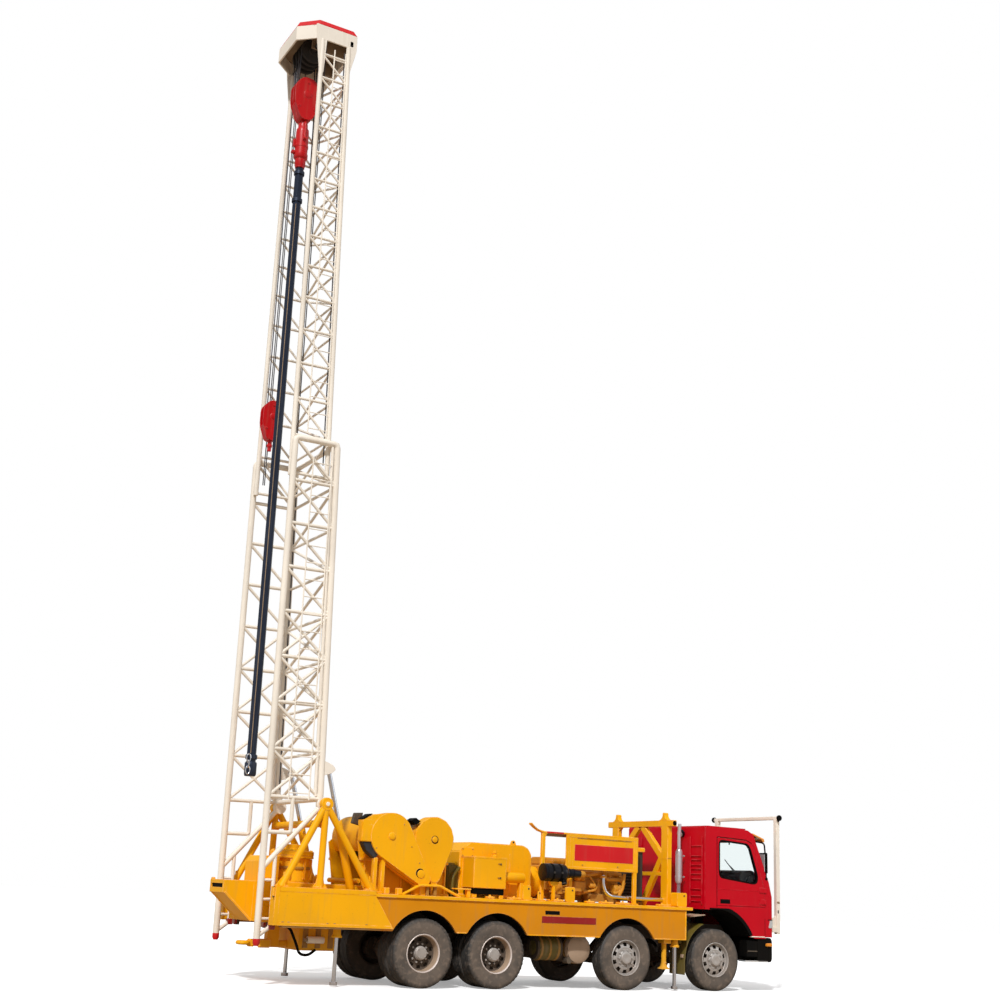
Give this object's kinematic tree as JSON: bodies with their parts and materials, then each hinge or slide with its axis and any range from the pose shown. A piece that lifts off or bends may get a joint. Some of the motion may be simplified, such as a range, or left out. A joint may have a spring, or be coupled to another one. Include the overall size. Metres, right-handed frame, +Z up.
{
  "type": "workover rig",
  "caption": "Truck-mounted workover rig with a telescoping lattice mast that folds forward over the cab, drawworks, raising rams, hook block and hanging kelly",
  "frame": {"origin": "on the ground, on the centre plane, 3.81 m behind the foremost axle", "axes": "+X towards the front bumper, +Y to the truck's left, +Z up; the mast stands raised"},
  "size_m": [11.1698, 2.5, 17.0956],
  "materials": {
    "yellow_paint": "satin paint over steel",
    "mast_paint": "cream white paint",
    "cab_paint": "gloss crimson paint",
    "block_paint": "red paint",
    "engine_paint": "dusty engine enamel",
    "black_paint": "black paint",
    "chassis_steel": "dark chassis paint",
    "kelly_steel": "dark blue paint",
    "bright_metal": "bright plated steel",
    "wheel_steel": "dusty silver paint",
    "tyre": "dusty rubber",
    "cab_trim": "grained dark trim",
    "glass": "clear glass"
  },
  "bodies": {
    "root": {"frame_rails": "chassis_steel", "deck": "yellow_paint", "tail_box": "yellow_paint", "front_axle_1": "chassis_steel", "front_axle_2": "chassis_steel", "rear_bogie": "chassis_steel", "a_frames": "yellow_paint", "drawworks_frame": "yellow_paint", "chain_guards": "yellow_paint", "gearbox_hood": "yellow_paint", "engine_block": "engine_paint", "engine_canopy": "yellow_paint", "air_cleaner": "black_paint", "exhaust_stack": "bright_metal", "mast_gantry": "yellow_paint", "front_mast_rest": "mast_paint", "cab_shell": "cab_paint", "windscreen": "glass", "front_bumper": "black_paint", "cab_interior": "cab_trim"},
    "mast_lower": {"mast_lower_right": "mast_paint", "mast_lower_left": "mast_paint", "mast_lower_face": "mast_paint"},
    "mast_upper": {"mast_upper_right": "mast_paint", "mast_upper_left": "mast_paint", "mast_upper_face": "mast_paint", "crown": "mast_paint", "travelling_block": "block_paint", "kelly": "kelly_steel", "winch_hook": "block_paint"},
    "ram_barrel_right": {"ram_barrel_right": "yellow_paint"},
    "ram_rod_right": {"ram_rod_right": "bright_metal"},
    "ram_barrel_left": {"ram_barrel_left": "yellow_paint"},
    "ram_rod_left": {"ram_rod_left": "bright_metal"},
    "knuckle_right_1": {"knuckle_right_1": "chassis_steel"},
    "wheel_right_1": {"front_tyre_right_1": "tyre", "front_rim_right_1": "wheel_steel"},
    "knuckle_left_1": {"knuckle_left_1": "chassis_steel"},
    "wheel_left_1": {"front_tyre_left_1": "tyre", "front_rim_left_1": "wheel_steel"},
    "knuckle_right_2": {"knuckle_right_2": "chassis_steel"},
    "wheel_right_2": {"front_tyre_right_2": "tyre", "front_rim_right_2": "wheel_steel"},
    "knuckle_left_2": {"knuckle_left_2": "chassis_steel"},
    "wheel_left_2": {"front_tyre_left_2": "tyre", "front_rim_left_2": "wheel_steel"},
    "twin_right_1": {"twin_wheel_right_1": "tyre"},
    "twin_left_1": {"twin_wheel_left_1": "tyre"},
    "twin_right_2": {"twin_wheel_right_2": "tyre"},
    "twin_left_2": {"twin_wheel_left_2": "tyre"},
    "cab_door_right": {"cab_door_right": "cab_paint"},
    "cab_door_left": {"cab_door_left": "cab_paint"},
    "jack_leg_front_right": {"jack_leg_front_right": "bright_metal"},
    "jack_leg_front_left": {"jack_leg_front_left": "bright_metal"},
    "jack_leg_rear_right": {"jack_leg_rear_right": "bright_metal"},
    "jack_leg_rear_left": {"jack_leg_rear_left": "bright_metal"},
    "main_drum": {"main_drum": "chassis_steel"},
    "sand_drum": {"sand_drum": "chassis_steel"}
  },
  "joints": [
    {"name": "mast_fold", "type": "hinge", "parent": "root", "child": "mast_lower", "pos_m": [-4.04, 0, 2.78], "axis": [0, 1, 0], "range_deg": [0, 89.9]},
    {"name": "mast_telescope", "type": "slide", "parent": "mast_lower", "child": "mast_upper", "axis": [-0.0122, 0, 0.9999], "range_m": [-1.1, 0]},
    {"name": "ram_swing_right", "type": "hinge", "parent": "root", "child": "ram_barrel_right", "pos_m": [-3.3, -0.8, 1.2], "axis": [0, 1, 0], "range_deg": [0, 12.9]},
    {"name": "ram_stroke_right", "type": "slide", "parent": "ram_barrel_right", "child": "ram_rod_right", "axis": [-0.2798, 0, 0.9601], "range_m": [-0.73, 0]},
    {"name": "ram_swing_left", "type": "hinge", "parent": "root", "child": "ram_barrel_left", "pos_m": [-3.3, 0.8, 1.2], "axis": [0, 1, 0], "range_deg": [0, 12.9]},
    {"name": "ram_stroke_left", "type": "slide", "parent": "ram_barrel_left", "child": "ram_rod_left", "axis": [-0.2798, 0, 0.9601], "range_m": [-0.73, 0]},
    {"name": "steer_right_1", "type": "hinge", "parent": "root", "child": "knuckle_right_1", "pos_m": [3.81, -0.8, 0.54], "axis": [0, 0, 1], "range_deg": [-28, 28]},
    {"name": "roll_right_1", "type": "hinge", "parent": "knuckle_right_1", "child": "wheel_right_1", "pos_m": [3.81, -1.04, 0.54], "axis": [0, 1, 0], "continuous": true},
    {"name": "steer_left_1", "type": "hinge", "parent": "root", "child": "knuckle_left_1", "pos_m": [3.81, 0.8, 0.54], "axis": [0, 0, 1], "range_deg": [-28, 28]},
    {"name": "roll_left_1", "type": "hinge", "parent": "knuckle_left_1", "child": "wheel_left_1", "pos_m": [3.81, 1.04, 0.54], "axis": [0, 1, 0], "continuous": true},
    {"name": "steer_right_2", "type": "hinge", "parent": "root", "child": "knuckle_right_2", "pos_m": [1.815, -0.8, 0.54], "axis": [0, 0, 1], "range_deg": [-17, 17]},
    {"name": "roll_right_2", "type": "hinge", "parent": "knuckle_right_2", "child": "wheel_right_2", "pos_m": [1.815, -1.04, 0.54], "axis": [0, 1, 0], "continuous": true},
    {"name": "steer_left_2", "type": "hinge", "parent": "root", "child": "knuckle_left_2", "pos_m": [1.815, 0.8, 0.54], "axis": [0, 0, 1], "range_deg": [-17, 17]},
    {"name": "roll_left_2", "type": "hinge", "parent": "knuckle_left_2", "child": "wheel_left_2", "pos_m": [1.815, 1.04, 0.54], "axis": [0, 1, 0], "continuous": true},
    {"name": "roll_twin_right_1", "type": "hinge", "parent": "root", "child": "twin_right_1", "pos_m": [-0.832, -0.915, 0.54], "axis": [0, 1, 0], "continuous": true},
    {"name": "roll_twin_left_1", "type": "hinge", "parent": "root", "child": "twin_left_1", "pos_m": [-0.832, 0.915, 0.54], "axis": [0, 1, 0], "continuous": true},
    {"name": "roll_twin_right_2", "type": "hinge", "parent": "root", "child": "twin_right_2", "pos_m": [-2.202, -0.915, 0.54], "axis": [0, 1, 0], "continuous": true},
    {"name": "roll_twin_left_2", "type": "hinge", "parent": "root", "child": "twin_left_2", "pos_m": [-2.202, 0.915, 0.54], "axis": [0, 1, 0], "continuous": true},
    {"name": "door_right", "type": "hinge", "parent": "root", "child": "cab_door_right", "pos_m": [4.97, -1.22, 1.8], "axis": [0, 0, 1], "range_deg": [0, 70]},
    {"name": "door_left", "type": "hinge", "parent": "root", "child": "cab_door_left", "pos_m": [4.97, 1.22, 1.8], "axis": [0, 0, 1], "range_deg": [-70, 0]},
    {"name": "jack_front_right", "type": "slide", "parent": "root", "child": "jack_leg_front_right", "axis": [0, 0, 1], "range_m": [-0.02, 0.4]},
    {"name": "jack_front_left", "type": "slide", "parent": "root", "child": "jack_leg_front_left", "axis": [0, 0, 1], "range_m": [-0.02, 0.4]},
    {"name": "jack_rear_right", "type": "slide", "parent": "root", "child": "jack_leg_rear_right", "axis": [0, 0, 1], "range_m": [-0.02, 0.4]},
    {"name": "jack_rear_left", "type": "slide", "parent": "root", "child": "jack_leg_rear_left", "axis": [0, 0, 1], "range_m": [-0.02, 0.4]},
    {"name": "main_drum_spin", "type": "hinge", "parent": "root", "child": "main_drum", "pos_m": [-2.83, 0, 2.35], "axis": [0, 1, 0], "continuous": true},
    {"name": "sand_drum_spin", "type": "hinge", "parent": "root", "child": "sand_drum", "pos_m": [-1.99, 0, 2.35], "axis": [0, 1, 0], "continuous": true}
  ],
  "couplings": [
    {"joint": "ram_swing_right", "follows": "mast_fold", "ratio": 0.1419},
    {"joint": "ram_stroke_right", "follows": "mast_fold", "m_per_rad": -0.4615},
    {"joint": "ram_swing_left", "follows": "mast_fold", "ratio": 0.1419},
    {"joint": "ram_stroke_left", "follows": "mast_fold", "m_per_rad": -0.4615},
    {"joint": "steer_left_1", "follows": "steer_right_1", "ratio": 1},
    {"joint": "steer_right_2", "follows": "steer_right_1", "ratio": 0.6},
    {"joint": "steer_left_2", "follows": "steer_right_1", "ratio": 0.6}
  ]
}
